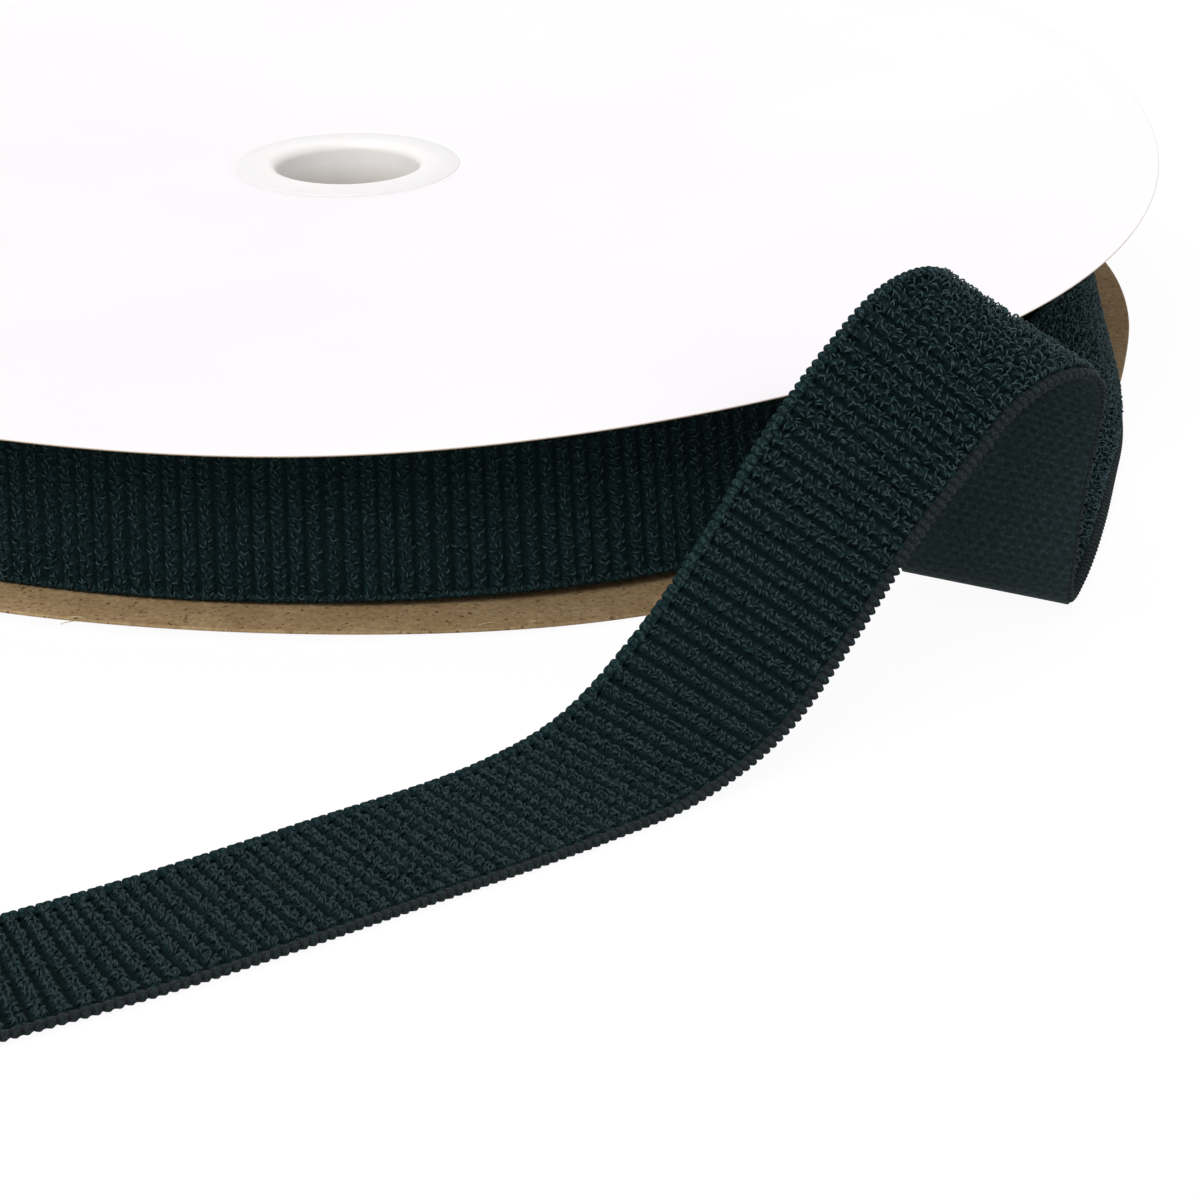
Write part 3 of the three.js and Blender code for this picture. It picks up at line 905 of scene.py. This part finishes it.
def make_flanges():
    """Each flange: a chipboard disc, and its paper facing. Each disc has its heights inside, and then at its rim."""
    discs = [
        ("top_board", "top_flange_board", BOARD, "board", sprung, TOP_FLANGE_RADIUS - TOP_BOARD_INSET,
         (INNER_CEILING_Z, TOP_BOARD_Z), (TOP_BOARD_Z - TOP_RIM_PRESS, TOP_BOARD_Z)),
        ("top_paper", "top_flange_liner", PAPER, "liner", sprung, TOP_FLANGE_RADIUS - TOP_PAPER_INSET,
         (TOP_BOARD_Z + GLUE_GAP, TOP_LINER_Z), (TOP_BOARD_Z + GLUE_GAP, TOP_LINER_Z)),
        ("bottom_board", "bottom_flange_board", BOARD, "board", sagged, BOTTOM_FLANGE_RADIUS - BOTTOM_BOARD_INSET,
         (BOTTOM_BOARD_Z, INNER_FLOOR_Z), (BOTTOM_BOARD_Z + BOTTOM_BOARD_RIM_LIFT, INNER_FLOOR_Z - BOTTOM_RIM_PRESS)),
        ("bottom_paper", "bottom_flange_liner", PAPER, "liner", sagged, BOTTOM_FLANGE_RADIUS - BOTTOM_PAPER_INSET,
         (BOTTOM_LINER_Z, BOTTOM_BOARD_Z - GLUE_GAP), [BOTTOM_BOARD_Z + lift for lift in BOTTOM_PAPER_RIM_LIFTS]),
    ]
    for name, node, material, slot, warp, radius, heights, rim_heights in discs:
        outline = disc_outline(radius, *heights, *rim_heights)
        make_reel_piece(name, node, turned(outline, DISC_SEGMENTS, warp), material, slot)


def make_frayed_fibres():
    """Pale paper fibres torn loose along the lower board's rim, each a thin bent thread. Each is drawn along x from
    the reel's axis, and then turned to its direction."""
    up = np.array([0.0, 0.0, 1.0])
    share = np.linspace(0, 1, FIBRE_POINTS)[:, None]
    round_it = round_angles(FIBRE_SIDES)[:, None]
    threads = []
    for place, size in FRAYED_PLACES:
        for _ in range(FIBRES_PER_PLACE):
            angle = math.radians(place + chance.normal(0, FIBRE_DIRECTION_JITTER))
            root_radius = BOTTOM_FLANGE_RADIUS - FIBRE_ROOT_INSET + chance.normal(0, FIBRE_ROOT_JITTER)
            root = np.array([root_radius, 0.0, INNER_FLOOR_Z - FIBRE_ROOT_DROP])
            out, aside = chance.uniform(*FIBRE_OUT_RANGE), chance.normal(0, FIBRE_ASIDE_JITTER)
            tip = np.array([out, aside, chance.uniform(*FIBRE_UP_RANGE)])
            out, aside = chance.normal(0, FIBRE_BOW_JITTER), chance.normal(0, FIBRE_BOW_JITTER)
            bow = np.array([out, aside, chance.uniform(*FIBRE_BOW_UP_RANGE)])
            path = root + size * (tip * share + bow * np.sin(math.pi * share))
            outward = np.array([math.cos(angle), math.sin(angle), 0])
            path = path @ np.array([outward, [-math.sin(angle), math.cos(angle), 0], up])
            at_the_rim = np.full(FIBRE_POINTS, FIBRE_SAG_RADIUS), path[:, 2], np.full(FIBRE_POINTS, angle)
            path[:, 2] = sagged(*at_the_rim)[1]
            ring = FIBRE_RADIUS * (np.cos(round_it) * outward + np.sin(round_it) * up)
            threads.append(path[:, None] + ring[None])
    make_piece("frayed_fibres", *skin(np.array(threads)), BOARD_FIBRE, "reel", "board")


def arc(centre, radius, start, end, count):
    """Points of [radius, height] on an arc, from one angle to another."""
    angle = np.radians(np.linspace(start, end, count))
    return np.stack([centre[0] + radius * np.cos(angle), centre[1] + radius * np.sin(angle)], -1)


def make_hub():
    """Both halves of the hub: the upper one's thin lip with a soft edge round its bore, and its spigot, which stands
    in the lower one's socket. Soft edges stay soft, sharp ones stay sharp."""
    lip_rim, lip_top = TOP_LINER_Z + UPPER_LIP_RIM, TOP_LINER_Z + UPPER_LIP
    edge, bore_edge = UPPER_LIP_ROUNDING, UPPER_BORE_ROUNDING
    upper = np.concatenate([
        [[BORE_RADIUS, HUB_JOINT_Z - SPIGOT_LENGTH], [SPIGOT_RADIUS, HUB_JOINT_Z - SPIGOT_LENGTH]],
        [[SPIGOT_RADIUS, HUB_JOINT_Z], [HUB_BARREL_RADIUS, HUB_JOINT_Z]],
        [[HUB_BARREL_RADIUS, TOP_LINER_Z], [HUB_LIP_RADIUS - UPPER_LIP_UNDERCUT, TOP_LINER_Z]],
        arc((HUB_LIP_RADIUS - edge, lip_rim - edge), edge, 0, 80, LIP_ARC_POINTS),
        [[SLOPE_FOOT[0], lip_rim + SLOPE_FOOT[1]], [SLOPE_HEAD[0], lip_top - SLOPE_HEAD[1]]],
        arc((BORE_RADIUS + bore_edge, lip_top - bore_edge), bore_edge, 90, 180, UPPER_BORE_ARC_POINTS),
    ])
    edge, bore_edge = LOWER_LIP_ROUNDING, LOWER_BORE_ROUNDING
    top, socket_radius = HUB_JOINT_Z - HUB_JOINT_GAP, SPIGOT_RADIUS + HUB_JOINT_GAP
    corner_across, corner_down = LOWER_LIP_CORNER
    lower = np.concatenate([
        arc((BORE_RADIUS + bore_edge, bore_edge), bore_edge, 180, 270, LOWER_BORE_ARC_POINTS),
        arc((HUB_LIP_RADIUS - edge, edge), edge, -90, 0, LIP_ARC_POINTS),
        [[HUB_LIP_RADIUS, LOWER_LIP_Z - corner_down], [HUB_LIP_RADIUS - corner_across, LOWER_LIP_Z]],
        [[HUB_BARREL_RADIUS, LOWER_LIP_Z], [HUB_BARREL_RADIUS, top]],
        [[socket_radius, top], [socket_radius, top - SPIGOT_LENGTH], [BORE_RADIUS, top - SPIGOT_LENGTH]],
    ])
    for name, node, outline in (("hub_upper", "upper_hub", upper), ("hub_lower", "lower_hub", lower)):
        piece = make_reel_piece(name, node, turned(outline, HUB_SEGMENTS), HUB, "hub")
        piece.data.set_sharp_from_angle(angle=math.radians(HUB_SHARP_ANGLE))


# ---- Table and light ----


def seen_by_camera(tree):
    """1 for rays from the camera, also by way of glossy or clear surfaces, and 0 for those that light things."""
    rays = add(tree, "ShaderNodeLightPath").outputs
    seen = add(tree, "ShaderNodeMath", {0: rays["Is Camera Ray"], 1: rays["Is Glossy Ray"]}, operation="MAXIMUM")
    seen = add(tree, "ShaderNodeMath", {0: seen.outputs[0], 1: rays["Is Transmission Ray"]}, operation="MAXIMUM")
    return seen.outputs[0]


def make_stage():
    """A white table, which the camera sees as even white with only a soft shade under the roll."""
    mesh = bpy.data.meshes.new("table")
    corners = [(x * TABLE_HALF_M, y * TABLE_HALF_M, 0) for x, y in ((-1, -1), (1, -1), (1, 1), (-1, 1))]
    mesh.from_pydata(corners, [], [(0, 1, 2, 3)])
    table = bpy.data.objects.new("table", mesh)
    put_in_scene(table)
    table.location.z = -TABLE_DROP_M
    material, tree, surface = new_material("table_white_laminate", Roughness=0.9, IOR=1.45, Specular_IOR_Level=0.1)
    surface.inputs["Base Color"].default_value = linear("#f4f4f4")
    share = add(tree, "ShaderNodeMath", {0: seen_by_camera(tree)}, operation="MULTIPLY")
    share.inputs[1].default_value = TABLE_GLOW_SHARE
    glow = add(tree, "ShaderNodeEmission", Strength=TABLE_GLOW)
    mixed = add(tree, "ShaderNodeMixShader", {0: share.outputs[0], 1: surface.outputs[0], 2: glow.outputs[0]})
    tree.links.new(mixed.outputs[0], tree.nodes["Material Output"].inputs["Surface"])
    mesh.materials.append(material)


def make_light():
    """A soft even sky, which the camera sees as plain white, and one wide soft light from the front left."""
    world = bpy.data.worlds.new("studio")
    bpy.context.scene.world = world
    world.use_nodes = True
    tree = world.node_tree
    light = tree.nodes["Background"]
    light.inputs["Color"].default_value = linear("#ffffff")
    light.inputs["Strength"].default_value = SKY_STRENGTH
    white = add(tree, "ShaderNodeBackground", Color=linear("#ffffff"))
    mixed = add(tree, "ShaderNodeMixShader", {0: seen_by_camera(tree), 1: light.outputs[0], 2: white.outputs[0]})
    tree.links.new(mixed.outputs[0], tree.nodes["World Output"].inputs["Surface"])
    data = bpy.data.lights.new("softbox", "SUN")
    data.energy = SUN_ENERGY
    data.angle = math.radians(SUN_WIDTH)
    lamp = bpy.data.objects.new("softbox", data)
    lamp.rotation_euler = [math.radians(turn) for turn in SUN_TURN]
    put_in_scene(lamp)


make_paid_out_tape()
make_outer_turn()
make_pack()
make_flanges()
make_frayed_fibres()
make_hub()
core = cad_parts["core_tube"]
core.data.materials.clear()
core.data.materials.append(BOARD)
make_stage()
make_light()

bpy.context.scene.view_settings.view_transform = "Standard"
